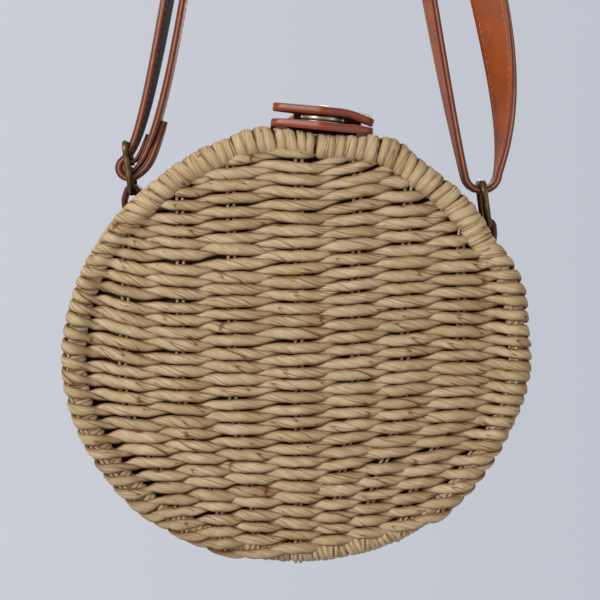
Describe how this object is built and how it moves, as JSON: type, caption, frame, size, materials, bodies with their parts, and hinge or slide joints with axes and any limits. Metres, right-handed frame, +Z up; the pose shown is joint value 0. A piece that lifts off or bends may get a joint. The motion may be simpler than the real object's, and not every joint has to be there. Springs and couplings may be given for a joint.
{
  "type": "circle bag",
  "caption": "Round shoulder bag woven of paper twine, with bowed oval panels, a leather flap with a magnetic snap, and a long leather strap doubled through a brass ring and slider.",
  "frame": {"origin": "hanging point: the underside of the strap's inner pass, in the middle of its bend over the hook or shoulder", "axes": "+Z up, +X to the right seen from the front, +Y towards the back panel; the bag hangs with its own axis tilted about Y, as it does from its strap"},
  "size_m": [0.1898, 0.0814, 0.4736],
  "materials": {
    "twine": "matt twisted paper twine, woven",
    "binding": "matt paper twine, whipped",
    "wire": "dull iron wire",
    "strap_leather": "smooth full-grain, dark painted edges",
    "tab_leather": "smooth full-grain",
    "antique_brass": "aged, dark",
    "snap_metal": "aged, worn bright on the edges",
    "magnet": "pressed ferrite",
    "lining_cloth": "plain cotton"
  },
  "bodies": {
    "strap": {"shoulder_strap": "strap_leather", "strap_ring": "antique_brass", "strap_slider": "antique_brass"},
    "bag": {"front_rim_wire": "wire", "back_rim_wire": "wire", "front_stakes": "wire", "back_stakes": "wire", "gusset_stakes": "wire", "front_weave": "twine", "back_weave": "twine", "gusset_weave": "twine", "front_mouth_binding": "binding", "back_mouth_binding": "binding", "mouth_end_bindings": "binding", "lining_bag": "lining_cloth", "closure_plate": "strap_leather", "snap_stud": "snap_metal", "stud_rivet": "snap_metal", "side_tab_left": "tab_leather", "side_tab_right": "tab_leather", "tab_rivets": "antique_brass"},
    "flap": {"closure_flap": "strap_leather", "snap_socket": "snap_metal", "snap_magnet": "magnet", "socket_rivet": "snap_metal"}
  },
  "joints": [
    {"name": "bag_swing", "type": "hinge", "parent": "strap", "child": "bag", "pos_m": [-0.07074, 0, -0.31711], "axis": [0.9954, 0, -0.0958], "range_deg": [-26, 26], "deforming": ["side_tab_left", "side_tab_right"]},
    {"name": "flap_hinge", "type": "hinge", "parent": "bag", "child": "flap", "pos_m": [0.00741, 0.029, -0.29787], "axis": [-0.9954, 0, 0.0958], "range_deg": [0, 90]}
  ]
}
